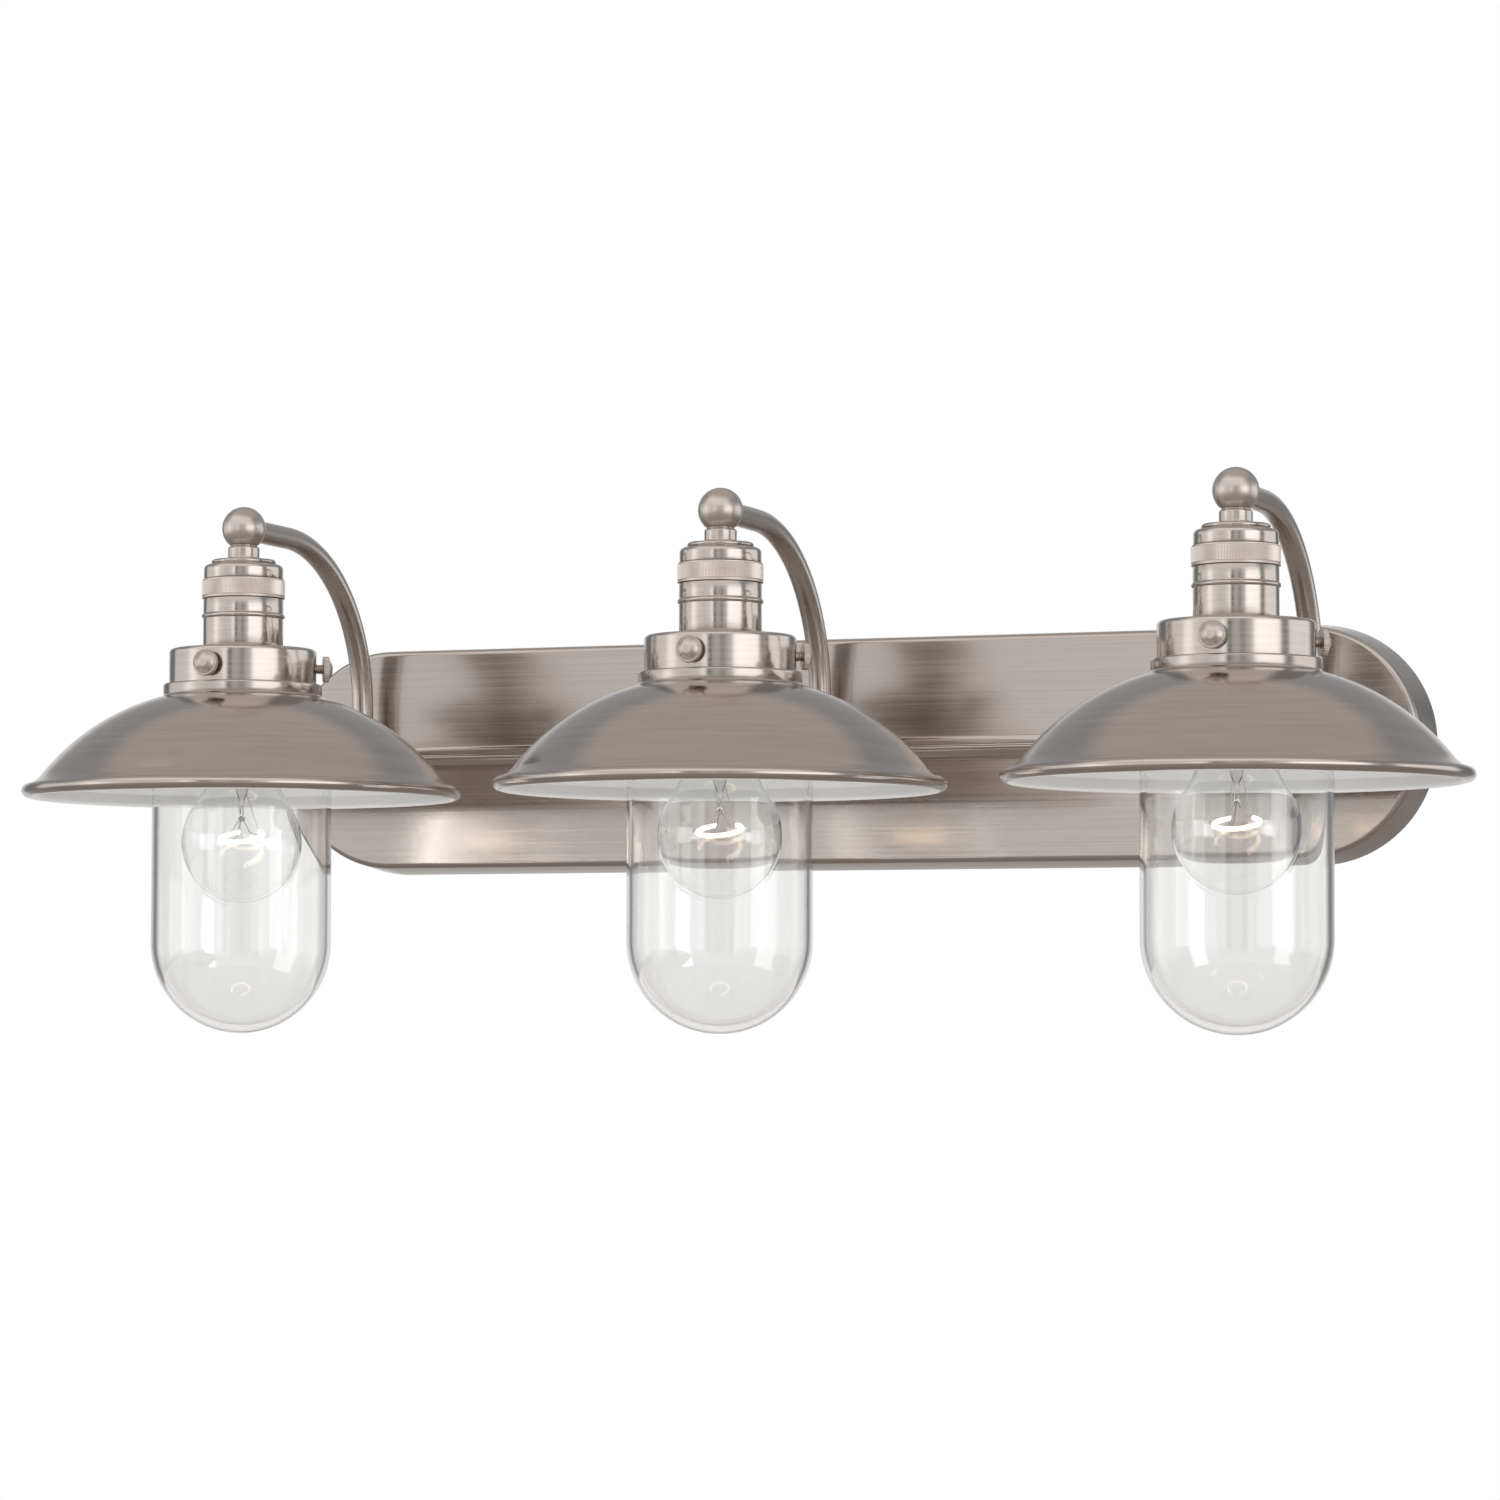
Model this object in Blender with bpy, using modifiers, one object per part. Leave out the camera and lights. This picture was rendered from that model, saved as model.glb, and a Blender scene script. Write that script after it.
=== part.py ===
"""Three-light vanity bar: a stadium-shaped wall plate with a raised rail, three swept arms and,
on each arm, a socket stack, a spun shade, a clear glass jar and a screw-in bulb.

Frame: origin on the wall at the centre of the crossbar's back face, +X along the bar,
-Y out into the room, +Z up. All sizes are in metres.
"""
import math

import bmesh
import bpy
from mathutils import Matrix, Vector

# ---- driving dimensions ---------------------------------------------------------------------
LAMP_SPACING = 0.257        # between neighbouring lamp axes
LAMP_REACH = 0.187          # from the wall to the lamp axes
RIM_Z = -0.028              # the shades' rim plane; the wall plate is centred on z = 0
GAP = 0.0003                # left between pieces that touch

PLATE_HALF_LENGTH = 0.3092  # at the wall; the front face is a little smaller
PLATE_HALF_HEIGHT = 0.0603
PLATE_DEPTH = 0.0295
PLATE_FLARE = 0.0025        # how much smaller the front face's edge is than the back edge
PLATE_SHEET = 0.0012
PLATE_RETURN = 0.008        # width of the flange turned inward against the wall

RAIL_HALF_LENGTH = 0.279
RAIL_HALF_HEIGHT = 0.0052
RAIL_DEPTH = 0.0212

CROSSBAR_LENGTH = 0.284
CROSSBAR_HEIGHT = 0.024
CROSSBAR_SHEET = 0.0025
FIXING_X = LAMP_SPACING / 2     # the two long screws, halfway between the lamps
FIXING_R = 0.0020
BOX_SCREW_X = 0.0349            # for a junction box with its screws 69.8 mm apart

ARM_R = 0.0056
ARM_REACH = 0.1425          # from the lamp axis to the arm's upright end
ARM_STRAIGHT = 0.050        # level run behind the ball, before the arc
ARM_ARC_DROP = 0.0815

# heights above the rim plane
BALL_Z = 0.1362
SHADE_TOP_Z = 0.0574
COLLAR_TOP_Z = 0.0751
COLLAR_BOTTOM_Z = 0.0512
CUP_TOP_Z = 0.1004
RING_TOP_Z = 0.1104
CAP_TOP_Z = 0.1203
NECK_TOP_Z = 0.1279
KNOB_Z = 0.0657
JAR_END_Z = -0.0724         # centre of the jar's round end
JAR_TOP_Z = 0.0700
BULB_Z = -0.0220            # centre of the bulb's globe
BULB_BASE_Z = 0.0305        # open end of the bulb's screw base

BALL_R = 0.0110
CUP_R = 0.0201
LAMPHOLDER_R = 0.0185
COLLAR_R = 0.0369
COLLAR_SHEET = 0.0012
SHADE_R = 0.1100
SHADE_SHEET = 0.0012
SHADE_NECK_R = 0.0398
DOME_RISE = -0.0581         # height of the dome arc's centre
DOME_OFFSET = 0.0108        # its distance from the lamp axis
DOME_R = 0.1130
JAR_R = 0.0450
JAR_NECK_R = 0.0345
JAR_WALL = 0.0026
BULB_R = 0.0302
BULB_BASE_R = 0.0130
BULB_WALL = 0.0008

SCREW_R = 0.0025            # M5 thumbscrews
SCREW_HOLE_R = 0.0029
KNOB_R = 0.0066
KNOB_START = 0.0402         # distances from the lamp axis
KNOB_DISC = 0.0028
KNOB_CONE = 0.0022
SCREW_ANGLES = (-90, 30, 150)   # seen from above; -90 points out into the room

SIDES = ("left", "middle", "right")
SCREW_NAMES = ("front", "right", "left")

for leftover in list(bpy.data.objects):
    bpy.data.objects.remove(leftover)

parts = bpy.data.collections.new("vanity_light_bar")
cutters = bpy.data.collections.new("cutters")
for collection in (parts, cutters):
    bpy.context.scene.collection.children.link(collection)


def material(name, color, roughness, metallic, transmission=0.0):
    """A Principled material of one colour."""
    made = bpy.data.materials.new(name)
    made.use_nodes = True
    shader = made.node_tree.nodes["Principled BSDF"]
    shader.inputs["Base Color"].default_value = (*color, 1.0)
    shader.inputs["Roughness"].default_value = roughness
    shader.inputs["Metallic"].default_value = metallic
    shader.inputs["Transmission Weight"].default_value = transmission
    return made


NICKEL = material("satin_nickel", (0.62, 0.58, 0.55), 0.30, 1.0)
GLASS = material("clear_glass", (1.0, 1.0, 1.0), 0.02, 0.0, 1.0)
BRASS = material("bulb_brass", (0.80, 0.62, 0.34), 0.30, 1.0)
PORCELAIN = material("porcelain", (0.90, 0.89, 0.86), 0.35, 0.0)
STEEL = material("zinc_steel", (0.55, 0.56, 0.57), 0.45, 1.0)
GREEN = material("green_screw", (0.05, 0.35, 0.12), 0.40, 0.6)


# ---- helpers --------------------------------------------------------------------------------
def add_object(name, data, finish, place=(0, 0, 0), collection=parts):
    made = bpy.data.objects.new(name, data)
    made.location = place
    data.materials.append(finish)
    collection.objects.link(made)
    return made


def arc(centre_r, centre_z, radius, start, end, count):
    """Profile points (r, z) on an arc, angles in degrees, both ends included."""
    points = []
    for step in range(count + 1):
        angle = math.radians(start + (end - start) * step / count)
        points.append((centre_r + radius * math.cos(angle), centre_z + radius * math.sin(angle)))
    return points


def turned(name, profile, steps, finish, place, closed=True):
    """A piece turned about its own Z from (r, z) points that run down its outer side."""
    mesh = bpy.data.meshes.new(name)
    count = len(profile)
    edges = [(i, i + 1) for i in range(count - 1)]
    if closed:
        edges.append((count - 1, 0))
    mesh.from_pydata([(r, 0.0, z) for r, z in profile], edges, [])
    made = add_object(name, mesh, finish, place)
    screw = made.modifiers.new("turn", "SCREW")
    screw.steps = screw.render_steps = steps
    screw.use_merge_vertices = True
    screw.merge_threshold = 0.00001
    screw.use_smooth_shade = True
    return made


def box(name, size, centre, finish):
    mesh = bpy.data.meshes.new(name)
    shaper = bmesh.new()
    bmesh.ops.create_cube(shaper, size=1.0)
    bmesh.ops.scale(shaper, vec=size, verts=shaper.verts)
    shaper.to_mesh(mesh)
    shaper.free()
    return add_object(name, mesh, finish, centre)


def drill(target, radius, place, direction, depth):
    """Cut a round hole of the given depth, centred on place, along direction."""
    mesh = bpy.data.meshes.new("hole")
    shaper = bmesh.new()
    bmesh.ops.create_cone(shaper, cap_ends=True, segments=12, radius1=radius, radius2=radius, depth=depth)
    shaper.to_mesh(mesh)
    shaper.free()
    cutter = add_object("hole_in_" + target.name, mesh, STEEL, place, cutters)
    cutter.rotation_euler = Vector(direction).to_track_quat("Z", "Y").to_euler()
    cutter.hide_render = True
    cutter.display_type = "WIRE"
    cut = target.modifiers.new("hole", "BOOLEAN")
    cut.object = cutter


# ---- wall plate, rail, crossbar and their screws --------------------------------------------
def stadium_ring(shaper, half_length, half_height, y, segments=40):
    """Edges of a racetrack outline: a circle pulled apart at its middle."""
    turn = Matrix.Rotation(math.radians(90), 4, "X") @ Matrix.Rotation(math.radians(180 / segments), 4, "Z")
    ring = bmesh.ops.create_circle(shaper, segments=segments, radius=half_height, matrix=turn)["verts"]
    stretch = half_length - half_height
    for vert in ring:
        vert.co.x += math.copysign(stretch, vert.co.x)
        vert.co.y = y
    return list({edge for vert in ring for edge in vert.link_edges})


def make_backplate():
    """A pressed pan: flat face, rounded edge, flared wall and a flange turned in at the wall."""
    shaper = bmesh.new()
    rings = (
        (PLATE_FLARE + 0.0030, -PLATE_DEPTH),
        (PLATE_FLARE + 0.0009, -PLATE_DEPTH + 0.0008),
        (PLATE_FLARE, -PLATE_DEPTH + 0.0030),
        (0.0, -0.0012),
        (0.0, 0.0),
        (PLATE_RETURN, 0.0),
    )
    edges = []
    for inset, y in rings:
        edges.append(stadium_ring(shaper, PLATE_HALF_LENGTH - inset, PLATE_HALF_HEIGHT - inset, y))
    for front, back in zip(edges, edges[1:]):
        bmesh.ops.bridge_loops(shaper, edges=front + back)
    bmesh.ops.edgeloop_fill(shaper, edges=edges[0])
    bmesh.ops.recalc_face_normals(shaper, faces=shaper.faces)
    mesh = bpy.data.meshes.new("backplate")
    shaper.to_mesh(mesh)
    shaper.free()
    plate = add_object("backplate", mesh, NICKEL)
    wall = plate.modifiers.new("sheet", "SOLIDIFY")
    wall.thickness = PLATE_SHEET
    wall.offset = -1.0
    wall.use_even_offset = True
    for x in (-FIXING_X, FIXING_X):
        drill(plate, FIXING_R + 0.0004, (x, -PLATE_DEPTH, 0), (0, 1, 0), 0.02)


def make_rail():
    """The moulding along the plate's middle: a flat band above a bead and a receding lower edge."""
    back = -PLATE_DEPTH - GAP
    front = back - RAIL_DEPTH
    outline = [
        (back, RAIL_HALF_HEIGHT),
        (front + 0.0004, RAIL_HALF_HEIGHT),
        (front, RAIL_HALF_HEIGHT - 0.0004),
        (front, 0.0012),
        (front + 0.0006, 0.0008),
        (front + 0.0006, 0.0004),
        (front, 0.0001),
        (front - 0.0003, -0.0006),
        (front, -0.0013),
        (front + 0.0008, -0.0018),
        (front + 0.0045, -RAIL_HALF_HEIGHT),
        (back, -RAIL_HALF_HEIGHT),
    ]
    curve = bpy.data.curves.new("rail", "CURVE")
    curve.dimensions = "2D"
    curve.fill_mode = "BOTH"
    curve.extrude = RAIL_HALF_LENGTH
    line = curve.splines.new("POLY")
    line.points.add(len(outline) - 1)
    line.use_cyclic_u = True
    for point, (y, z) in zip(line.points, outline):
        point.co = (y, z, 0, 1)
    guide = add_object("rail_outline", curve, NICKEL)
    guide.matrix_world = Matrix(((0, 0, 1, 0), (1, 0, 0, 0), (0, 1, 0, 0), (0, 0, 0, 1)))
    bpy.context.view_layer.update()
    mesh = bpy.data.meshes.new_from_object(guide.evaluated_get(bpy.context.evaluated_depsgraph_get()))
    shaper = bmesh.new()
    shaper.from_mesh(mesh)
    bmesh.ops.remove_doubles(shaper, verts=shaper.verts, dist=0.00001)
    bmesh.ops.recalc_face_normals(shaper, faces=shaper.faces)
    shaper.to_mesh(mesh)
    shaper.free()
    mesh.name = "rail"
    rail = bpy.data.objects.new("rail", mesh)
    rail.matrix_world = guide.matrix_world
    parts.objects.link(rail)
    bpy.data.objects.remove(guide)
    for x in (-FIXING_X, FIXING_X):
        drill(rail, FIXING_R + 0.0004, (x, front / 2 + back / 2, 0), (0, 1, 0), 2 * RAIL_DEPTH)
    return front


def make_crossbar():
    """The steel strip that is screwed to the junction box and carries the plate."""
    size = (CROSSBAR_LENGTH, CROSSBAR_SHEET, CROSSBAR_HEIGHT)
    bar = box("crossbar", size, (0, -CROSSBAR_SHEET / 2, 0), STEEL)
    for x in (-FIXING_X, FIXING_X):
        drill(bar, FIXING_R + 0.0004, (x, 0, 0), (0, 1, 0), 0.02)
    for x in (-BOX_SCREW_X, BOX_SCREW_X):
        drill(bar, 0.0024, (x, 0, 0), (0, 1, 0), 0.02)


def make_fixings(rail_front):
    """Two long screws with domed heads on the rail, and the green earth screw on the crossbar."""
    head_z = -rail_front + 0.0003 + GAP
    for side, x in (("left", -FIXING_X), ("right", FIXING_X)):
        head = arc(0, head_z, 0.0046, 90, 0, 3)
        screw = turned("mounting_screw_" + side, head + [(FIXING_R, head_z), (FIXING_R, 0.0), (0.0, 0.0)],
                       12, NICKEL, (x, 0, 0), closed=False)
        screw.rotation_euler = (math.radians(90), 0, 0)
    head = [(0, 0.0020), (0.0030, 0.0020), (0.0038, 0.0010), (0.0038, 0), (0, 0)]
    earth = turned("ground_screw", head, 12, GREEN, (0, -CROSSBAR_SHEET - GAP, 0), closed=False)
    earth.rotation_euler = (math.radians(90), 0, 0)


# ---- arms and sockets -----------------------------------------------------------------------
def make_arm(side, x):
    """Level out of the ball's back, round an elliptical quarter turn and straight down to the rail."""
    top = RIM_Z + BALL_Z
    drop = ARM_ARC_DROP
    across = ARM_REACH - ARM_STRAIGHT
    points = [(math.sqrt(BALL_R ** 2 - (ARM_R + 0.0001) ** 2) + GAP, top), (0.025, top)]
    for step in range(9):
        angle = math.radians(90 * step / 8)
        points.append((ARM_STRAIGHT + across * math.sin(angle), top - drop * (1 - math.cos(angle))))
    points.append((ARM_REACH, RAIL_HALF_HEIGHT + GAP))
    curve = bpy.data.curves.new("arm_" + side, "CURVE")
    curve.dimensions = "3D"
    curve.bevel_depth = ARM_R
    curve.bevel_resolution = 3
    curve.use_fill_caps = True
    line = curve.splines.new("POLY")
    line.points.add(len(points) - 1)
    for point, (reach, z) in zip(line.points, points):
        point.co = (x, reach - LAMP_REACH, z, 1)
    add_object("arm_" + side, curve, NICKEL)


def make_ball(side, axis):
    """A cast ball, cut flat underneath for the neck and behind for the arm."""
    shaper = bmesh.new()
    bmesh.ops.create_uvsphere(shaper, u_segments=16, v_segments=10, radius=BALL_R)
    back = math.sqrt(BALL_R ** 2 - (ARM_R + 0.0001) ** 2)
    for point, normal in (((0, 0, NECK_TOP_Z + GAP - BALL_Z), (0, 0, -1)), ((0, back, 0), (0, 1, 0))):
        geometry = shaper.verts[:] + shaper.edges[:] + shaper.faces[:]
        cut = bmesh.ops.bisect_plane(shaper, geom=geometry, plane_co=point, plane_no=normal, clear_outer=True)
        rim = [item for item in cut["geom_cut"] if isinstance(item, bmesh.types.BMEdge)]
        bmesh.ops.edgeloop_fill(shaper, edges=rim)
    bmesh.ops.recalc_face_normals(shaper, faces=shaper.faces)
    mesh = bpy.data.meshes.new("ball_" + side)
    shaper.to_mesh(mesh)
    shaper.free()
    add_object("ball_" + side, mesh, NICKEL, (axis[0], axis[1], RIM_Z + BALL_Z))


def make_stack(side, axis):
    """Neck, cap, knurled ring, cup, porcelain lampholder and the collar that grips the jar."""
    neck_bore = 0.0040
    turned("neck_" + side, [
        (neck_bore, NECK_TOP_Z), (0.0062, NECK_TOP_Z), (0.0062, 0.1266), (0.0079, 0.1262),
        (0.0079, CAP_TOP_Z + GAP), (neck_bore, CAP_TOP_Z + GAP)], 16, NICKEL, axis)
    inner = 0.0190
    turned("socket_cap_" + side, [
        (0.0052, CAP_TOP_Z), (0.0159, CAP_TOP_Z), (0.0162, 0.1180), (0.0188, 0.1177), (0.0199, 0.1162),
        (0.0199, RING_TOP_Z + GAP), (0.0175, RING_TOP_Z + GAP), (0.0175, 0.1150), (0.0052, 0.1150)],
        20, NICKEL, axis)
    turned("knurled_ring_" + side, [
        (0.0175, RING_TOP_Z), (0.0209, RING_TOP_Z), (0.0209, CUP_TOP_Z + GAP), (0.0175, CUP_TOP_Z + GAP)],
        20, NICKEL, axis)
    turned("socket_cup_" + side, [
        (inner, CUP_TOP_Z), (CUP_R, CUP_TOP_Z), (CUP_R, 0.0936), (0.0209, 0.0926), (0.0209, 0.0909),
        (CUP_R, 0.0899), (CUP_R, COLLAR_TOP_Z + GAP), (inner, COLLAR_TOP_Z + GAP)], 20, NICKEL, axis)
    turned("lampholder_" + side, [
        (0.0040, 0.0950), (LAMPHOLDER_R, 0.0950), (LAMPHOLDER_R, 0.0340), (0.0136, 0.0340),
        (0.0136, 0.0590), (0.0040, 0.0620)], 16, PORCELAIN, axis)
    wall = COLLAR_R - COLLAR_SHEET
    collar = turned("collar_" + side, [
        (inner, COLLAR_TOP_Z), (COLLAR_R - 0.0015, COLLAR_TOP_Z), (COLLAR_R, COLLAR_TOP_Z - 0.0015),
        (COLLAR_R, COLLAR_BOTTOM_Z), (wall, COLLAR_BOTTOM_Z), (wall, COLLAR_TOP_Z - COLLAR_SHEET),
        (inner, COLLAR_TOP_Z - COLLAR_SHEET)], 24, NICKEL, axis)
    for angle in SCREW_ANGLES:
        out = Vector((math.cos(math.radians(angle)), math.sin(math.radians(angle)), 0))
        place = Vector(axis) + out * COLLAR_R + Vector((0, 0, KNOB_Z))
        drill(collar, SCREW_HOLE_R, place, out, 0.008)


def make_shade(side, axis):
    """A spun dome with a neck ring above and a rolled rim below."""
    inside = DOME_R - SHADE_SHEET
    ring_inner = COLLAR_R + GAP
    start = math.degrees(math.acos((SHADE_NECK_R - DOME_OFFSET) / DOME_R))
    end = math.degrees(math.acos((0.1010 - DOME_OFFSET) / DOME_R))
    inner_start = math.degrees(math.acos((ring_inner - DOME_OFFSET) / inside))
    profile = [(ring_inner, SHADE_TOP_Z), (SHADE_NECK_R, SHADE_TOP_Z)]
    profile += arc(DOME_OFFSET, DOME_RISE, DOME_R, start, end, 4)
    profile += [(0.1058, 0.0068), (0.1088, 0.0062), (SHADE_R, 0.0032), (0.1088, 0.0), (0.1062, 0.0004)]
    profile += [(0.1052, 0.0052)]
    profile += arc(DOME_OFFSET, DOME_RISE, inside, end, inner_start, 4)
    turned("shade_" + side, profile, 32, NICKEL, axis)


def make_jar(side, axis):
    """A clear jar with a round end, hung by its straight neck inside the collar."""
    inside = JAR_R - JAR_WALL
    neck_inside = JAR_NECK_R - JAR_WALL
    profile = [(0.0, JAR_END_Z - inside)] + arc(0, JAR_END_Z, inside, -90, 0, 4)[1:]
    profile += [(inside, 0.0350), (0.0400, 0.0412), (neck_inside, 0.0490), (neck_inside, JAR_TOP_Z)]
    profile += [(JAR_NECK_R, JAR_TOP_Z), (JAR_NECK_R, 0.0505), (0.0422, 0.0430), (JAR_R, 0.0360)]
    profile += arc(0, JAR_END_Z, JAR_R, 0, -90, 4)[:-1] + [(0.0, JAR_END_Z - JAR_R)]
    turned("jar_" + side, profile, 20, GLASS, axis, closed=False)


def make_bulb(side, axis):
    """A screw base with its contact, and the glass envelope that stands open under it."""
    top = BULB_BASE_Z
    shell = BULB_BASE_R - BULB_WALL
    turned("bulb_base_" + side, [
        (0.0, top + 0.0270), (0.0045, top + 0.0265), (0.0060, top + 0.0240), (BULB_BASE_R, top + 0.0205),
        (BULB_BASE_R, top), (shell, top), (shell, top + 0.0200), (0.0, top + 0.0235)],
        16, BRASS, axis, closed=False)
    throat = [(0.0132, top - GAP), (0.0147, 0.0200), (0.0195, 0.0050)]
    inner = BULB_R - BULB_WALL
    profile = [(0.0, BULB_Z - inner)] + arc(0, BULB_Z, inner, -90, 30, 5)[1:]
    profile += [(r - BULB_WALL, z) for r, z in reversed(throat)]
    profile += throat
    profile += arc(0, BULB_Z, BULB_R, 30, -90, 5)[:-1] + [(0.0, BULB_Z - BULB_R)]
    turned("bulb_glass_" + side, profile, 16, GLASS, axis, closed=False)


def make_thumbscrews(side, axis):
    """Three screws through the collar wall, each a threaded shank with a knurled, dished head."""
    tip = JAR_NECK_R + GAP
    shank_end = KNOB_START + KNOB_DISC - 0.0005
    for screw_name, angle in zip(SCREW_NAMES, SCREW_ANGLES):
        out = Vector((math.cos(math.radians(angle)), math.sin(math.radians(angle)), 0))
        facing = out.to_track_quat("Z", "Y").to_euler()
        place = Vector(axis) + Vector((0, 0, KNOB_Z))
        label = screw_name + "_" + side
        shank = turned("thumbscrew_shank_" + label, [
            (0.0, shank_end), (SCREW_R, shank_end), (SCREW_R, tip + 0.0008), (0.0017, tip), (0.0, tip)],
            10, NICKEL, place, closed=False)
        bore = SCREW_R + GAP
        face = KNOB_START + KNOB_DISC
        head = turned("thumbscrew_head_" + label, [
            (0.0, face + KNOB_CONE), (0.0030, face + KNOB_CONE), (KNOB_R, face), (KNOB_R, KNOB_START),
            (bore, KNOB_START), (bore, shank_end + GAP), (0.0, shank_end + GAP)],
            12, NICKEL, place, closed=False)
        shank.rotation_euler = facing
        head.rotation_euler = facing


# ---- assembly -------------------------------------------------------------------------------
make_backplate()
RAIL_FRONT = make_rail()
make_crossbar()
make_fixings(RAIL_FRONT)
for number, side_name in enumerate(SIDES):
    lamp_x = (number - 1) * LAMP_SPACING
    lamp_axis = (lamp_x, -LAMP_REACH, RIM_Z)
    make_arm(side_name, lamp_x)
    make_ball(side_name, lamp_axis)
    make_stack(side_name, lamp_axis)
    make_shade(side_name, lamp_axis)
    make_jar(side_name, lamp_axis)
    make_bulb(side_name, lamp_axis)
    make_thumbscrews(side_name, lamp_axis)
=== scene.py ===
# %% [markdown]
# # A three-lamp vanity bar in satin nickel
# This lesson finishes a wall light for a bathroom: a long pressed plate, three swept arms and, on
# each arm, a turned socket stack, a spun metal shade, a clear glass jar and a clear bulb.
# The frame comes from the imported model. Everything here is built around it, in metres, in place.

# %% Load the frame
import math

import bpy
from mathutils import Matrix, Vector


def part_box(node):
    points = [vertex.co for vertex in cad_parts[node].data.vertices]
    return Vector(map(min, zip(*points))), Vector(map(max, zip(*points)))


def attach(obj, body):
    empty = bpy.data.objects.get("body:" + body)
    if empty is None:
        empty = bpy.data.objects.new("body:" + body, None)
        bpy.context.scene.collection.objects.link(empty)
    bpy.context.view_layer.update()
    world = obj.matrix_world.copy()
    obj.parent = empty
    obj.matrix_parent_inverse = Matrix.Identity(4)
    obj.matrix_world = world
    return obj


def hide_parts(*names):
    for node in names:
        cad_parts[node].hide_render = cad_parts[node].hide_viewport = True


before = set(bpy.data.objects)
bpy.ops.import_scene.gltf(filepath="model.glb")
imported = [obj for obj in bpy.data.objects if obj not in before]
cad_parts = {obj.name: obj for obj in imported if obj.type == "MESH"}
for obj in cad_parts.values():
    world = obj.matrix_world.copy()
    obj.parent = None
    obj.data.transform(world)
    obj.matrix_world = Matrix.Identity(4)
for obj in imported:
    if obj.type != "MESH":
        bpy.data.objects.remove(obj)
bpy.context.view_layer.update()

# %% [markdown]
# ## Where the lamps hang
# Each lamp is built on its own vertical axis, with height 0 at the shade's rim. That is how a
# turner's drawing is laid out, so the profiles below read like one, in millimetres. The three
# places where this drawing is set down are read from the frame.

# %% The lamps' places
MM = 0.001
SIDES = ("left", "middle", "right")
collar_low, collar_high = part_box("collar_middle")
LAMP_Y = (collar_low.y + collar_high.y) / 2
RIM_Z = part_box("shade_middle")[0].z
LAMP_FOOT = {}
for side in SIDES:
    low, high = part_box("collar_" + side)
    LAMP_FOOT[side] = Vector(((low.x + high.x) / 2, LAMP_Y, RIM_Z))
print("lamp feet:", {side: tuple(round(c, 4) for c in foot) for side, foot in LAMP_FOOT.items()})

# %% [markdown]
# ## The camera
# A long lens stands off to the right, a little below the shades, and looks up slightly. The film is
# shifted a little to place the bar in the picture without turning the camera any further.

# %% Set up the camera
CAMERA_TURN = 0.3811        # radians to the left of looking straight at the wall
lens = bpy.data.cameras.new("camera")
lens.lens = 121.63
lens.sensor_width = 36.0
lens.shift_x = 0.07264
lens.shift_y = 0.01123
camera = bpy.data.objects.new("camera", lens)
camera.location = (0.8750, -2.4720, -0.1524)
camera.rotation_euler = (1.6263, -0.0035, CAMERA_TURN)
bpy.context.scene.collection.objects.link(camera)
bpy.context.scene.camera = camera
print("camera", round((camera.location - LAMP_FOOT["middle"]).length, 2), "m from the middle lamp")

# %% [markdown]
# ## Expressions for shader maths
# A material is a small program. Written node by node it is hard to read, so this class wraps a
# node's output: arithmetic on it adds Math nodes, and `node` adds any other kind.


# %% A socket that does arithmetic
class Wire:
    """One output in a node tree. Arithmetic on it adds Math nodes to that tree."""

    def __init__(self, tree, socket=None):
        self.tree = tree
        self.socket = socket

    def node(self, kind, settings=None, inputs=None, output=0):
        """Add a node: its settings first, then the values or links of its sockets."""
        made = self.tree.nodes.new(kind)
        for name, value in (settings or {}).items():
            if name == "stops":
                ramp = made.color_ramp
                while len(ramp.elements) < len(value):
                    ramp.elements.new(1.0)
                for element, (position, color) in zip(ramp.elements, value):
                    element.position = position
                    element.color = (*color, 1.0)
            else:
                setattr(made, name, value)
        for name, value in (inputs or {}).items():
            if isinstance(value, Wire):
                self.tree.links.new(value.socket, made.inputs[name])
            else:
                made.inputs[name].default_value = value
        return Wire(self.tree, made.outputs[output])

    def math(self, operation, *terms):
        return self.node("ShaderNodeMath", {"operation": operation}, dict(enumerate(terms)))

    def __add__(self, other):
        return self.math("ADD", self, other)

    def __sub__(self, other):
        return self.math("SUBTRACT", self, other)

    def __rsub__(self, other):
        return self.math("SUBTRACT", other, self)

    def __mul__(self, other):
        return self.math("MULTIPLY", self, other)

    def __truediv__(self, other):
        return self.math("DIVIDE", self, other)

    __radd__ = __add__
    __rmul__ = __mul__

    def feed(self, node, socket):
        self.tree.links.new(self.socket, node.inputs[socket])


def new_finish(name, **sockets):
    """A material, its shader and a wire to build on. Uniform values go straight on the shader."""
    made = bpy.data.materials.new(name)
    made.use_nodes = True
    shader = made.node_tree.nodes["Principled BSDF"]
    for socket, value in sockets.items():
        shader.inputs[socket.replace("_", " ")].default_value = value
    return made, shader, Wire(made.node_tree)


def tint(wire, factor, low, high):
    """A colour between two, by a factor from 0 to 1."""
    return wire.node("ShaderNodeMix", {"data_type": "RGBA"}, {0: factor, 6: (*low, 1), 7: (*high, 1)}, 2)


def dent(wire, height, strength, depth):
    """A bump of the given depth in metres, ready for a shader's Normal."""
    return wire.node("ShaderNodeBump", None, {"Strength": strength, "Distance": depth, "Height": height})


print("shader helpers ready")

# %% [markdown]
# ## Satin nickel, brushed two ways
# The whole bar is nickel-plated and brushed. On turned parts the lines run round the axis, because
# the part spun under the abrasive. On the plate and the rail they run lengthwise. In both, noise is
# stretched along the line of travel: almost constant that way, fine across it. Turned parts carry
# an attribute named `turn`, their coordinates on their own axis, so one material serves all lamps.

# %% Brushed nickel
NICKEL_DARK = (0.49, 0.445, 0.415)
NICKEL_LIGHT = (0.60, 0.555, 0.52)


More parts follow.
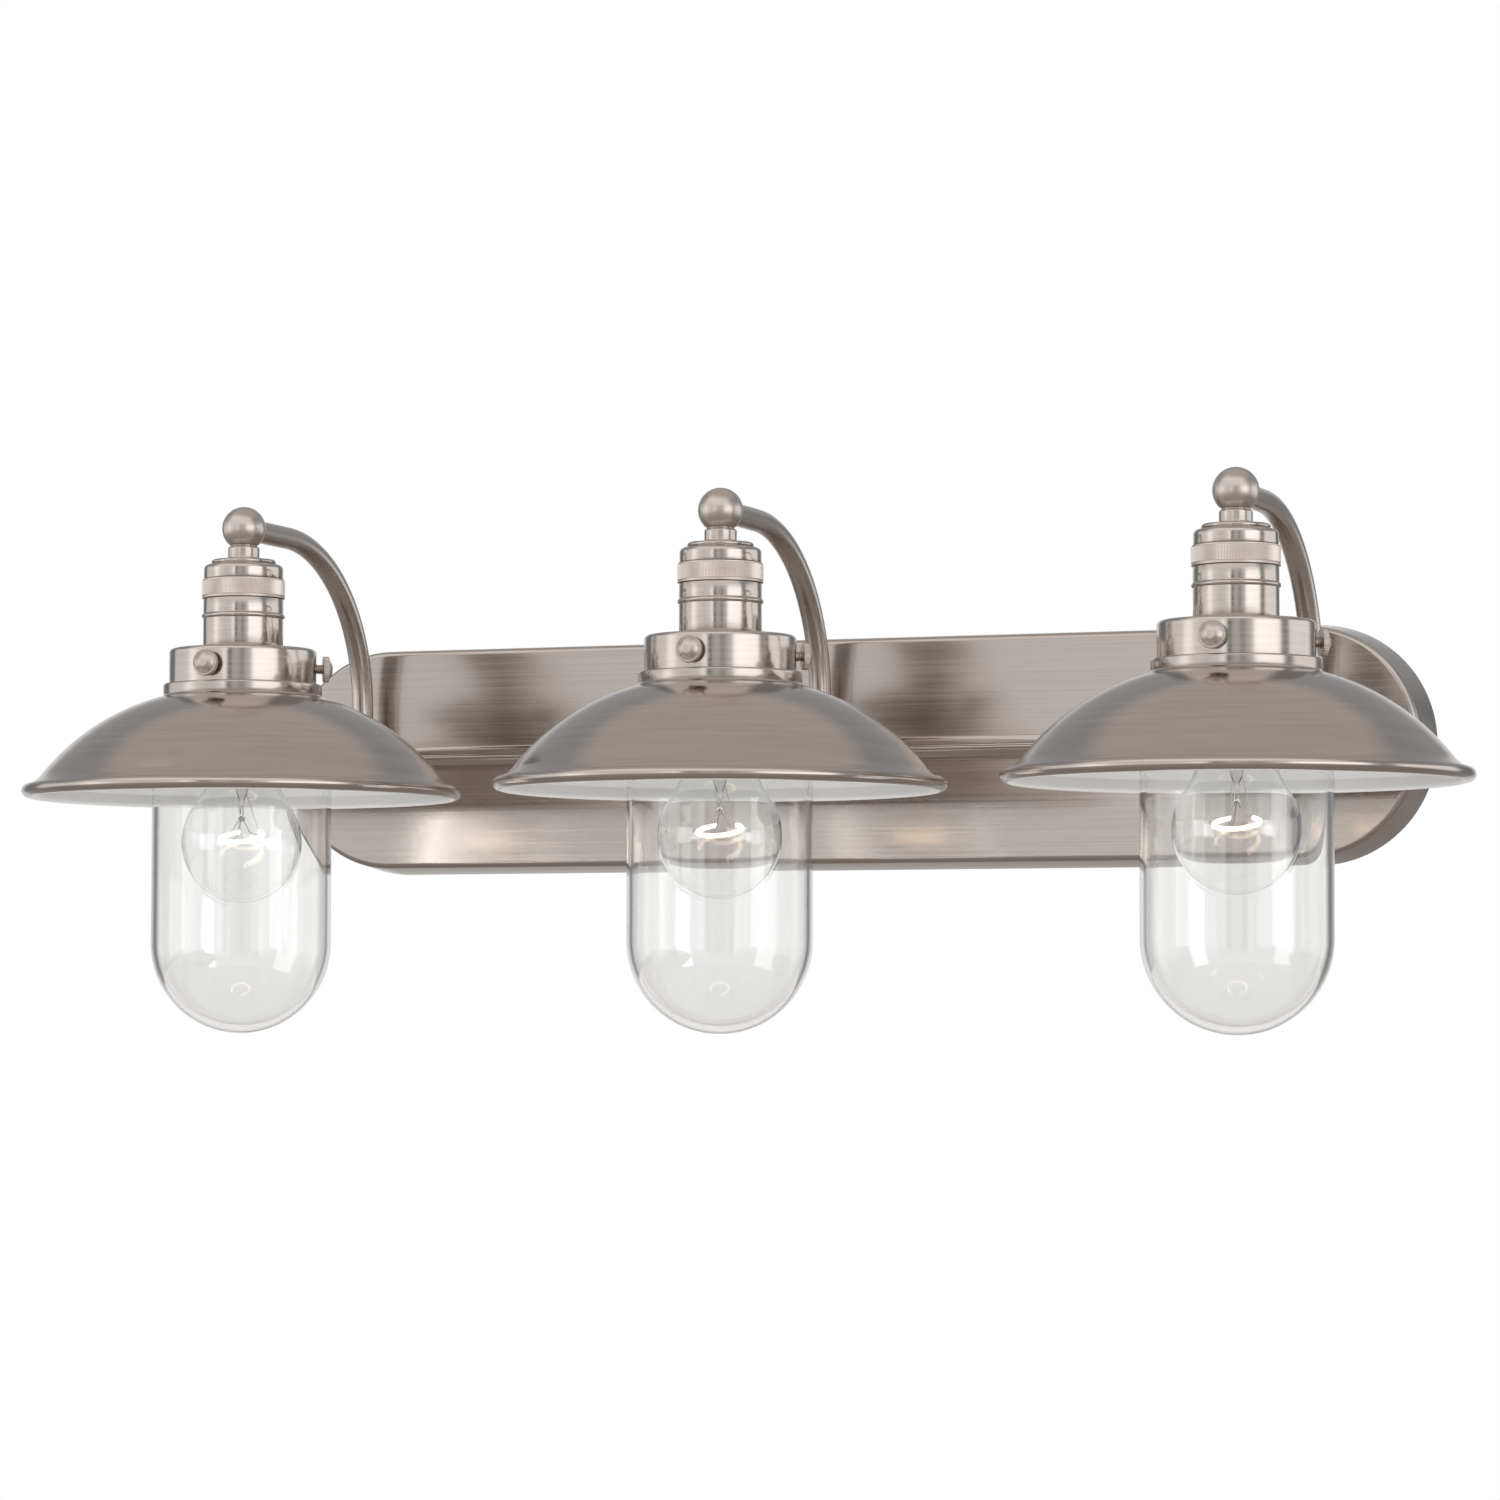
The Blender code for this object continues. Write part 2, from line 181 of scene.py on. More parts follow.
def brushed_nickel(name, along_axis, roughness, spread, groove, anisotropy, shade=1.0):
    """Nickel brushed along X or round the axis. Shade scales its colour as painted light: over 1 lighter,
    under 1 darker.
    """
    made, shader, wire = new_finish(name, Metallic=1.0, Anisotropic=anisotropy)
    dark, light = (tuple(shade * c for c in color) for color in (NICKEL_DARK, NICKEL_LIGHT))
    if along_axis:
        place = wire.node("ShaderNodeTexCoord", output="Object")
        line = wire.node("ShaderNodeMapping", None, {"Vector": place, "Scale": (5, 1400, 1400)})
        broad = wire.node("ShaderNodeMapping", None, {"Vector": place, "Scale": (2.5, 30, 30)})
    else:
        place = wire.node("ShaderNodeAttribute", {"attribute_name": "turn"}, output="Vector")
        x, y, z = (wire.node("ShaderNodeSeparateXYZ", None, {0: place}, axis) for axis in range(3))
        squares = x * x + y * y
        radius = squares.math("SQRT", squares) + 0.00001
        round_x, round_y = x / radius, y / radius
        across = z * 1100 + radius * 1500
        line = wire.node("ShaderNodeCombineXYZ", None, {0: round_x * 1.5, 1: round_y * 1.5, 2: across})
        broad = wire.node("ShaderNodeCombineXYZ", None, {0: round_x, 1: round_y, 2: across * 0.03})
    fine = wire.node("ShaderNodeTexNoise", None, {"Vector": line, "Scale": 1.0, "Detail": 4.0})
    patch = wire.node("ShaderNodeTexNoise", None, {"Vector": broad, "Scale": 1.6, "Detail": 2.0})
    tint(wire, (fine - 0.5) * 1.4 + patch * 0.35 + 0.33, dark, light).feed(shader, "Base Color")
    (roughness + (fine - 0.5) * spread + (patch - 0.5) * 0.05).feed(shader, "Roughness")
    dent(wire, fine, groove, 0.00004).feed(shader, "Normal")
    return made


# The last number paints one nickel lighter or darker as painted light: knurl most, then ball, arms, turned
# parts; plate darker.
TURNED_NICKEL = brushed_nickel("turned_nickel", False, 0.14, 0.14, 0.22, 0.45, 1.05)
SPUN_NICKEL = brushed_nickel("spun_nickel", False, 0.16, 0.10, 0.12, 0.25)
PLATE_NICKEL = brushed_nickel("plate_nickel", True, 0.16, 0.16, 0.30, 0.35, 0.95)
RAIL_NICKEL = brushed_nickel("rail_nickel", True, 0.11, 0.10, 0.12, 0.2)
ARM_NICKEL = brushed_nickel("arm_nickel", True, 0.25, 0.10, 0.10, 0.0, 1.05)
CAST_NICKEL = brushed_nickel("cast_nickel", False, 0.31, 0.10, 0.14, 0.0, 1.12)
KNURL_NICKEL = brushed_nickel("knurl_nickel", False, 0.42, 0.10, 0.15, 0.0, 1.35)
print("seven nickel finishes")

# %% [markdown]
# ## Glass, brass, porcelain and the small finishes
# The jars are blown, so their surface wavers slightly: a broad, shallow bump bends the reflections
# without showing as a pattern. The shade's lining is white enamel with a faint orange peel. Brass,
# porcelain and zinc are seen from below or behind, and get their own grain.


# %% Glass and enamel
def clear_glass(name, ior, waver, clouding):
    made, shader, wire = new_finish(name, Transmission_Weight=1.0, IOR=ior)
    place = wire.node("ShaderNodeTexCoord", output="Object")
    drawn = wire.node("ShaderNodeMapping", None, {"Vector": place, "Scale": (60, 60, 9)})
    wave = wire.node("ShaderNodeTexNoise", None, {"Vector": drawn, "Scale": 1.0, "Detail": 1.0})
    tint(wire, wave, (0.985, 0.99, 0.99), (1.0, 1.0, 1.0)).feed(shader, "Base Color")
    (wave * clouding).feed(shader, "Roughness")
    dent(wire, wave, waver, 0.0006).feed(shader, "Normal")
    return made


def grainy(name, low, high, scale, roughness, spread, bump, **sockets):
    """A plain finish with a fine even grain in its colour, gloss and surface."""
    made, shader, wire = new_finish(name, **sockets)
    place = wire.node("ShaderNodeTexCoord", output="Object")
    grain = wire.node("ShaderNodeTexNoise", None, {"Vector": place, "Scale": scale, "Detail": 4.0})
    tint(wire, grain, low, high).feed(shader, "Base Color")
    (roughness + (grain - 0.5) * spread).feed(shader, "Roughness")
    dent(wire, grain, bump, 0.0001).feed(shader, "Normal")
    return made


JAR_GLASS = clear_glass("jar_glass", 1.47, 0.05, 0.02)
BULB_GLASS = clear_glass("bulb_glass", 1.45, 0.04, 0.02)
ENAMEL = grainy("white_enamel", (0.78, 0.78, 0.77), (0.84, 0.84, 0.83), 420, 0.32, 0.10, 0.04)
PORCELAIN = grainy("porcelain", (0.78, 0.77, 0.73), (0.88, 0.87, 0.84), 160, 0.22, 0.08, 0.06)
BRASS = grainy("rolled_brass", (0.66, 0.47, 0.20), (0.83, 0.64, 0.33), 300, 0.30, 0.16, 0.2, Metallic=1.0)
ZINC = grainy("zinc_plate", (0.42, 0.43, 0.45), (0.62, 0.63, 0.64), 260, 0.42, 0.2, 0.25, Metallic=1.0)
GREEN = grainy("green_dye", (0.02, 0.22, 0.07), (0.05, 0.36, 0.13), 500, 0.38, 0.15, 0.2, Metallic=0.6)
BLACK_GLASS = grainy("black_insulator", (0.01, 0.01, 0.012), (0.03, 0.03, 0.035), 300, 0.15, 0.1, 0.1)
LEAD_WIRE = grainy("lead_wire", (0.45, 0.40, 0.36), (0.60, 0.55, 0.50), 900, 0.32, 0.1, 0.1, Metallic=1.0)
print("glass, enamel, porcelain, brass, zinc and dye ready")

# %% [markdown]
# The filament glows a warm white, and a fine noise makes it a little more orange in places.

# %% The glowing filament
FILAMENT, filament_shader, filament_wire = new_finish("filament", Emission_Strength=3.2)
filament_place = filament_wire.node("ShaderNodeTexCoord", output="Object")
flicker = filament_wire.node(
    "ShaderNodeTexNoise", None, {"Vector": filament_place, "Scale": 700.0, "Detail": 2.0})
glow = tint(filament_wire, flicker, (1.0, 0.74, 0.48), (1.0, 0.90, 0.74))
glow.feed(filament_shader, "Emission Color")
glow.feed(filament_shader, "Base Color")
print("filament ready")

# %% [markdown]
# ## Helpers for shaping by hand
# A turned part is drawn as half of its section: a point is extruded from place to place, as a
# pencil would go, and the line is then spun round the axis. The doubled points are merged and the
# faces turned outward. A bevel takes the sharpness off every edge, since no real edge is perfect.


# %% Draw, spin and round
def only(piece):
    """Leave just this piece selected and active."""
    bpy.ops.object.select_all(action="DESELECT")
    piece.select_set(True)
    bpy.context.view_layer.objects.active = piece


def pick(piece, wanted):
    """Open the piece in edit mode with just those points selected whose place is wanted."""
    only(piece)
    bpy.ops.object.mode_set(mode="EDIT")
    bpy.ops.mesh.select_mode(type="VERT")
    bpy.ops.mesh.select_all(action="DESELECT")
    bpy.ops.object.mode_set(mode="OBJECT")
    for vert in piece.data.vertices:
        vert.select = wanted(vert.co)
    bpy.ops.object.mode_set(mode="EDIT")


def draw_line(name, points):
    """Start a mesh as a chain of edges through the points, given in millimetres."""
    bpy.ops.object.select_all(action="DESELECT")
    bpy.ops.mesh.primitive_plane_add(size=MM)
    piece = bpy.context.object
    piece.name = name
    bpy.ops.object.mode_set(mode="EDIT")
    bpy.ops.mesh.select_mode(type="VERT")
    bpy.ops.mesh.select_all(action="SELECT")
    bpy.ops.mesh.merge(type="CENTER")
    bpy.ops.transform.translate(value=Vector(points[0]) * MM)
    for here, there in zip(points, points[1:]):
        step = (Vector(there) - Vector(here)) * MM
        bpy.ops.mesh.extrude_region_move(TRANSFORM_OT_translate={"value": step})
    bpy.ops.mesh.select_all(action="SELECT")
    return piece


def clean_up():
    """In edit mode: merge doubled points and turn the faces outward, then leave edit mode."""
    bpy.ops.mesh.select_all(action="SELECT")
    bpy.ops.mesh.remove_doubles(threshold=0.003 * MM)
    bpy.ops.mesh.normals_make_consistent(inside=False)
    bpy.ops.object.mode_set(mode="OBJECT")


def turned(name, profile, steps=96, closed=True):
    """Spin a half section of (radius, height) points round the lamp's axis."""
    points = [(r, 0, z) for r, z in profile]
    if closed:
        points.append(points[0])
    piece = draw_line(name, points)
    bpy.ops.mesh.spin(steps=steps, angle=2 * math.pi, center=(0, 0, 0), axis=(0, 0, 1))
    clean_up()
    return piece


def apply(piece, kind, **settings):
    """Give the piece one modifier with these settings, and apply it."""
    only(piece)
    modifier = piece.modifiers.new(kind.lower(), kind)
    for name, value in settings.items():
        setattr(modifier, name, value)
    bpy.ops.object.modifier_apply(modifier=modifier.name)
    return piece


def soften(piece, width, segments=2, angle=28):
    """Round the edges that are sharper than the angle."""
    limit = math.radians(angle)
    return apply(piece, "BEVEL", width=width * MM, segments=segments, limit_method="ANGLE", angle_limit=limit)


def cut_away(piece, cutter):
    """Take the cutter's shape out of the piece."""
    apply(piece, "BOOLEAN", object=cutter, operation="DIFFERENCE")
    bpy.data.objects.remove(cutter)


def arc(centre_r, centre_z, radius, start, end, count):
    """Points on an arc, angles in degrees from the horizontal, both ends included."""
    angles = [math.radians(start + (end - start) * step / count) for step in range(count + 1)]
    return [(centre_r + radius * math.cos(a), centre_z + radius * math.sin(a)) for a in angles]


def smooth_line(points, count):
    """A smooth curve through the points, with count steps between neighbours."""
    ends = [points[0], *points, points[-1]]
    curve = []
    for before, here, there, after in zip(ends, ends[1:], ends[2:], ends[3:]):
        for step in range(count):
            t = step / count
            weights = (-t / 2 + t * t - t ** 3 / 2, 1 - 2.5 * t * t + 1.5 * t ** 3,
                       t / 2 + 2 * t * t - 1.5 * t ** 3, (t ** 3 - t * t) / 2)
            near = (before, here, there, after)
            curve.append(tuple(sum(w * p[i] for w, p in zip(weights, near)) for i in range(2)))
    return curve + [points[-1]]


print("shaping helpers ready")


# %% Finish a piece and set it on the lamps
def coat(piece, finish, angle=32):
    """Smooth shading up to an angle, the material, and the turn attribute it reads."""
    only(piece)
    bpy.ops.object.shade_smooth_by_angle(angle=math.radians(angle))
    piece.data.materials.clear()
    piece.data.materials.append(finish)
    turn = piece.data.attributes.new("turn", "FLOAT_VECTOR", "POINT")
    turn.data.foreach_set("vector", [c for vert in piece.data.vertices for c in vert.co])
    return piece


def set_on_lamps(piece, node, body="root", moves=(("", Matrix.Identity(4)),)):
    """Copy a piece to each lamp, with its own mesh. It may be set several times on one lamp."""
    for side in SIDES:
        for label, move in moves:
            made = piece.copy()
            made.data = piece.data.copy()
            made.name = f"{piece.name}{label}_{side}"
            bpy.context.scene.collection.objects.link(made)
            made.data.transform(Matrix.Translation(LAMP_FOOT[side]) @ move)
            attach(made, body.format(label=label, side=side))
            if node:
                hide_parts(node.format(label=label, side=side))
    faces = len(piece.data.polygons)
    print(f"{piece.name}: {faces} faces, set {len(SIDES) * len(moves)} times")
    bpy.data.objects.remove(piece)


def ride_root(piece, slot, *nodes):
    """A single piece on the wall side of the bar."""
    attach(piece, "root")
    if nodes:
        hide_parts(*nodes)
    print(f"{piece.name}: {len(piece.data.polygons)} faces")


# %% [markdown]
# ## The ball and the neck
# The arm ends in a ball, drilled from behind for the tube and from below for the neck. A thin
# bright washer shows between the ball and the neck, so it is a step in the neck's section. The
# ball could be a sphere primitive, but a spun arc can stop at the flat where the washer begins.

# %% Turn the ball and the neck
BALL_Z, BALL_R = 136.2, 11.0
NECK_TOP, NECK_FOOT, BORE_R = 128.1, 120.4, 4.0
ball_flat = math.degrees(math.asin((NECK_TOP - BALL_Z) / BALL_R))
ball = turned("turned_ball", [(0, BALL_Z + BALL_R)] + arc(0, BALL_Z, BALL_R, 90, ball_flat, 30)[1:]
              + [(0, NECK_TOP)], 64, closed=False)
set_on_lamps(coat(ball, CAST_NICKEL), "ball_{side}")

neck = turned("turned_neck", [
    (BORE_R, NECK_TOP), (6.6, NECK_TOP), (6.9, 127.7), (6.6, 127.2), (7.4, 126.9), (7.9, 126.2),
    (7.9, 121.4), (8.4, 120.9), (8.4, NECK_FOOT), (BORE_R, NECK_FOOT)], 64)
set_on_lamps(coat(soften(neck, 0.15), TURNED_NICKEL), "neck_{side}")

# %% [markdown]
# ## The socket stack
# Under the neck sits a cap with a thin round-edged flange, then a knurled locking ring, then the
# cup with one raised bead. All three are one bench job in a lathe. The knurl is real geometry: the
# ring is spun in many narrow steps, and every other column is pressed inward.

# %% Turn the cap and the cup
cap = turned("turned_cap", [
    (5.2, 120.3), (15.4, 120.3)] + arc(15.2, 119.15, 1.05, 80, -70, 6) + [
    (15.5, 117.9), (17.6, 117.8)] + arc(17.6, 115.5, 2.3, 88, 0, 6) + [
    (19.9, 110.7), (17.5, 110.7), (17.5, 115.0), (5.2, 115.0)])
set_on_lamps(coat(soften(cap, 0.12), TURNED_NICKEL), "socket_cap_{side}")

cup = turned("turned_cup", [
    (19.0, 100.4), (20.1, 100.4), (20.1, 93.9)] + arc(19.7, 91.75, 1.25, 72, -72, 8) + [
    (20.1, 89.6), (20.1, 75.4), (19.0, 75.4)])
set_on_lamps(coat(soften(cup, 0.12), TURNED_NICKEL), "socket_cup_{side}")


# %% Knurl a ring
def press_columns(piece, radius, steps, share):
    """Press every other column of points on the outer wall inward, by a share of its radius."""
    def pressed(place):
        column = round(math.atan2(place.y, place.x) / (2 * math.pi) * steps)
        return place.xy.length > (radius - 0.02) * MM and column % 2 == 0

    pick(piece, pressed)
    bpy.ops.transform.resize(value=(share, share, 1), center_override=(0, 0, 0))
    bpy.ops.object.mode_set(mode="OBJECT")
    return piece


KNURL_STEPS, KNURL_R, KNURL_PRESS = 360, 20.9, 0.986
ring = turned("knurled_ring_turned", [
    (17.5, 110.4), (20.3, 110.4), (20.6, 110.1), (20.6, 109.6), (KNURL_R, 109.4), (KNURL_R, 102.2),
    (20.5, 101.9), (20.5, 101.5), (20.85, 101.3), (20.85, 100.9), (20.6, 100.7), (17.5, 100.7)],
    KNURL_STEPS)
press_columns(ring, KNURL_R, KNURL_STEPS, KNURL_PRESS)
set_on_lamps(coat(ring, KNURL_NICKEL, 20), "knurled_ring_{side}")

# %% [markdown]
# ## The collar that grips the jar
# The collar is a drawn cup with a soft top edge. Three holes in its wall pass the thumbscrews. They
# are cut with cylinders, turned to face outward at a third of a turn from each other.

# %% Draw the collar and drill it
KNOB_Z, HOLE_R = 65.7, 2.9
COLLAR_R, COLLAR_WALL, COLLAR_SOFT, COLLAR_BEND_Z = 36.9, 1.2, 2.0, 73.1
SCREW_TURNS = {"front": -90, "right": 30, "left": 150}
collar = turned("drawn_collar", [
    (19.0, 75.1)] + arc(COLLAR_R - COLLAR_SOFT, COLLAR_BEND_Z, COLLAR_SOFT, 90, 0, 7) + [
    (COLLAR_R, 51.2), (COLLAR_R - COLLAR_WALL, 51.2)]
    + arc(COLLAR_R - COLLAR_SOFT, COLLAR_BEND_Z, COLLAR_SOFT - COLLAR_WALL, 0, 90, 4)
    + [(19.0, 73.9)], 128)
soften(collar, 0.15)
for degrees in SCREW_TURNS.values():
    outward = Matrix.Rotation(math.radians(degrees), 4, "Z") @ Matrix.Rotation(math.radians(90), 4, "Y")
    bpy.ops.object.select_all(action="DESELECT")
    bpy.ops.mesh.primitive_cylinder_add(vertices=32, radius=HOLE_R * MM, depth=8 * MM)
    cutter = bpy.context.object
    cutter.matrix_world = outward @ Matrix.Translation((-KNOB_Z * MM, 0, 36.0 * MM))
    cut_away(collar, cutter)
set_on_lamps(coat(collar, TURNED_NICKEL, 25), "collar_{side}")

# %% [markdown]
# ## The shade
# The shade is spun from one disc over a wooden form: a neck ring, a low dome, and a rolled rim that
# stiffens the edge. Inside it is sprayed with white enamel. Metal and enamel are two pieces, so each
# can have its own finish, and the enamel stops short of the roll as on the real shade.

# %% Spin the shade and its enamel lining
DOME_R, DOME_OUT, DOME_DROP = 113.0, 10.8, -58.1
ROLL_OUT, ROLL_R = 106.8, 3.2       # the rolled rim: its centre's radius and its own
SHEET, LINING = 0.9, 0.28


def dome_angle(radius, skin):
    """Where the dome's arc, less a skin, reaches a radius, in degrees."""
    return math.degrees(math.acos((radius - DOME_OUT) / (DOME_R - skin)))


def dome(skin, start, end, count):
    return arc(DOME_OUT, DOME_DROP, DOME_R - skin, dome_angle(start, skin), dome_angle(end, skin), count)


shade = turned("spun_shade", [(37.2, 57.4), (38.9, 57.4)] + arc(38.9, 56.5, 0.9, 60, 0, 3)
               + [(39.8, 52.4), (39.6, 51.9)] + dome(0, 40.6, 101.0, 44)
               + [(102.6, 8.55), (104.0, 7.45), (104.9, 6.95)] + arc(ROLL_OUT, ROLL_R, ROLL_R, 112, -150, 22)
               + [(103.8, 3.4), (103.2, 6.2)] + dome(SHEET, 101.0, 37.2, 44), 160)
set_on_lamps(coat(soften(shade, 0.12), SPUN_NICKEL, 25), "shade_{side}")


def roll_skin(skin):
    """The inner half of the rolled rim, grown by a skin."""
    return (arc(ROLL_OUT, ROLL_R, ROLL_R + skin, -98, -150, 6)
            + [(103.8 - skin, 3.4), (103.2 - skin, 6.2 - skin / 2)])


lining = turned("enamel_lining", roll_skin(0.03) + dome(SHEET + 0.04, 101.0, 37.3, 40)
                + dome(SHEET + LINING, 37.3, 100.9, 40) + roll_skin(0.22)[::-1], 160)
set_on_lamps(coat(lining, ENAMEL), None)

# %% [markdown]
# ## The lampholder
# Porcelain body with a rolled brass shell inside, which the bulb's thread screws into.

# %% Turn the lampholder
holder = turned("porcelain_lampholder", [
    (4.0, 95.0), (17.6, 95.0), (18.5, 94.1), (18.5, 60.0), (17.6, 59.4), (17.6, 58.0), (18.5, 57.4),
    (18.5, 35.2), (17.4, 34.0), (14.8, 34.0), (13.9, 34.6), (13.9, 59.0), (4.0, 62.0)], 72)
set_on_lamps(coat(soften(holder, 0.3), PORCELAIN), "lampholder_{side}")

THREAD_PITCH = 3.63     # the lamp thread: seven turns to the inch
shell_wave = [(13.62 - 0.2 * math.cos(2 * math.pi * step / 8), 34.8 + THREAD_PITCH * step / 8)
              for step in range(8 * 6)]
shell = turned("brass_socket_shell", shell_wave, 48, closed=False)
apply(shell, "SOLIDIFY", thickness=0.12 * MM, offset=1.0)
set_on_lamps(coat(shell, BRASS), None)

# %% [markdown]
# ## The jar
# A blown jar of even wall, hung by its neck inside the collar. Refraction needs a true inner and
# outer surface, so the section is drawn down one side and up the other.

# %% Blow the jar
JAR_R, JAR_WALL, JAR_NECK = 45.0, 2.6, 34.5
JAR_END_Z, JAR_TOP_Z = -72.4, 70.0
inside, neck_inside = JAR_R - JAR_WALL, JAR_NECK - JAR_WALL
outer_shoulder = smooth_line([(JAR_R, 34.0), (44.2, 39.5), (39.4, 45.6), (JAR_NECK, 50.9),
                              (JAR_NECK, 54.0)], 5)
inner_shoulder = smooth_line([(neck_inside, 53.0), (neck_inside, 49.6), (36.8, 44.2), (41.6, 38.6),
                              (inside, 33.0)], 5)
jar = turned("blown_jar", [(0, JAR_END_Z - JAR_R)] + arc(0, JAR_END_Z, JAR_R, -90, 0, 30)[1:]
             + outer_shoulder + [(JAR_NECK, JAR_TOP_Z - 1.3)]
             + arc(JAR_NECK - JAR_WALL / 2, JAR_TOP_Z - 1.3, JAR_WALL / 2, 0, 180, 8)[1:]
             + inner_shoulder + arc(0, JAR_END_Z, inside, 0, -90, 30)[:-1]
             + [(0, JAR_END_Z - inside)], 128, closed=False)
set_on_lamps(coat(jar, JAR_GLASS, 60), "jar_{side}", "jar_{side}")

# %% [markdown]
# ## The bulb
# A clear globe on a brass screw base. The envelope is one thin blown shell. Inside stands a glass
# stem with a flared foot, two lead wires, two support wires and the coiled filament, bent into an
# open loop so that it fits the globe.

# %% Blow the envelope and the stem
BULB_Z, BULB_R, BULB_WALL = -22.0, 30.2, 0.45
throat = smooth_line([(26.15, -6.9), (19.5, 5.0), (14.7, 20.0), (13.1, 30.1)], 6)
inner_throat = [(r - BULB_WALL, z) for r, z in reversed(throat)]
envelope = turned("bulb_envelope", [(0, BULB_Z - BULB_R)] + arc(0, BULB_Z, BULB_R, -90, 30, 34)[1:-1]
                  + throat + inner_throat + arc(0, BULB_Z, BULB_R - BULB_WALL, 30, -90, 34)[1:-1]
                  + [(0, BULB_Z - BULB_R + BULB_WALL)], 96, closed=False)
set_on_lamps(coat(envelope, BULB_GLASS, 60), "bulb_glass_{side}", "bulb_glass_{side}")

stem_side = smooth_line([(11.6, 29.5), (7.2, 26.0), (4.4, 19.0), (3.7, 10.0), (3.3, 5.0), (2.2, 1.5),
                         (1.2, -1.5), (1.1, -8.0), (1.9, -9.4)], 4)
stem = turned("bulb_stem", [(0, 27.4), (9.6, 28.9)] + stem_side + arc(0, -9.6, 1.9, -10, -90, 5), 32,
              closed=False)
set_on_lamps(coat(stem, BULB_GLASS, 60), None, "bulb_glass_{side}")


# %% [markdown]
# Wires are curves with a round section. The filament is a fine coil wound along its loop.

# %% Draw the leads and wind the filament
def wire_piece(name, routes, radius, finish):
    """Round wires along the routes, in millimetres, made into one mesh."""
    bpy.ops.object.select_all(action="DESELECT")
    bpy.ops.curve.primitive_bezier_curve_add()
    piece = bpy.context.object
    piece.name = name
    curve = piece.data
    curve.splines.clear()
    for route in routes:
        spline = curve.splines.new("POLY")
        spline.points.add(len(route) - 1)
        for point, place in zip(spline.points, route):
            point.co = (*(Vector(place) * MM), 1)
    curve.bevel_depth = radius * MM
    curve.bevel_resolution = 2
    curve.use_fill_caps = True
    bpy.ops.object.convert(target="MESH")
    bpy.ops.object.mode_set(mode="EDIT")
    clean_up()
    return coat(piece, finish, 60)


LOOP_R, LOOP_Z, LOOP_TURN, LOOP_DIP = 10.5, -19.0, 300, 3.2


def loop_point(share):
    """A place on the filament's open loop, which dips slightly at the front."""
    angle = math.radians(-90 - LOOP_TURN / 2 + LOOP_TURN * share)
    return Vector((LOOP_R * math.cos(angle), LOOP_R * math.sin(angle), LOOP_Z + LOOP_DIP * math.sin(angle)))


COIL_TURNS, COIL_R, COIL_STEPS = 46, 0.85, 8
coil = []
for step in range(COIL_TURNS * COIL_STEPS + 1):
    share = step / (COIL_TURNS * COIL_STEPS)
    centre = loop_point(share)
    outward = Vector((centre.x, centre.y, 0)).normalized()
    phase = 2 * math.pi * step / COIL_STEPS
    coil.append(centre + COIL_R * (math.cos(phase) * outward + math.sin(phase) * Vector((0, 0, 1))))
set_on_lamps(wire_piece("filament_coil", [coil], 0.34, FILAMENT), None, "bulb_glass_{side}")

leads = []
for share, foot_x in ((0.0, -2.6), (1.0, 2.6)):
    tip = loop_point(share)
    leads.append([(foot_x, 0.6, 24.0), (foot_x * 0.8, 0.3, 8.0), (foot_x * 0.9, 0.4, 3.0),
                  (tip.x * 0.8, tip.y * 0.7, tip.z + 6.0), tuple(tip)])
for share in (0.25, 0.5, 0.75):
    hook = loop_point(share)
    leads.append([(0, 0, -8.8), (hook.x * 0.5, hook.y * 0.5, hook.z + 3.0), (hook.x, hook.y, hook.z + 1.2),
                  (hook.x * 1.06, hook.y * 1.06, hook.z)])
set_on_lamps(wire_piece("lead_wires", leads, 0.22, LEAD_WIRE), None, "bulb_glass_{side}")


# %% [markdown]
# ## Threads
# A thread is one pitch of its section, carried round and along the axis by the Screw modifier. The
# ragged ends are cut off flat and filled. The bulb's base and the thumbscrews are both made so.

# %% Cut the threads
def threaded(name, root, crest, pitch, low, high, steps):
    """A threaded rod on the vertical axis between two heights, all in millimetres."""
    turns = math.ceil((high - low) / pitch) + 2
    start = low - pitch
    piece = draw_line(name, [(root, 0, start), (crest, 0, start + 0.38 * pitch),
                             (crest, 0, start + 0.55 * pitch), (root, 0, start + pitch)])
    bpy.ops.object.mode_set(mode="OBJECT")
    apply(piece, "SCREW", angle=2 * math.pi, screw_offset=pitch * MM, iterations=turns, steps=steps,
          render_steps=steps, use_merge_vertices=True, merge_threshold=0.002 * MM)
    bpy.ops.object.mode_set(mode="EDIT")
    for height, keep_above in ((low, True), (high, False)):
        bpy.ops.mesh.select_all(action="SELECT")
        bpy.ops.mesh.bisect(plane_co=(0, 0, height * MM), plane_no=(0, 0, 1), use_fill=True,
                            clear_inner=keep_above, clear_outer=not keep_above)
    clean_up()
    return piece


base = threaded("threaded_base", 12.35, 12.98, THREAD_PITCH, 30.6, 51.0, 40)
set_on_lamps(coat(base, BRASS, 50), "bulb_base_{side}", "bulb_base_{side}")
insulator = turned("black_insulator", [
    (0, 57.0), (4.6, 57.0), (6.4, 54.8), (11.6, 51.4), (11.6, 51.0), (0, 51.0)], 40, closed=False)
set_on_lamps(coat(soften(insulator, 0.3), BLACK_GLASS), None, "bulb_base_{side}")

# %% [markdown]
# ## The thumbscrews
# Each is a threaded rod with a low turned cone on a thin disc, whose edge is knurled. It is modelled
# upright, then laid down to face outward three times on each lamp. The head turns and the shank only
# travels, so each rides on its own body.

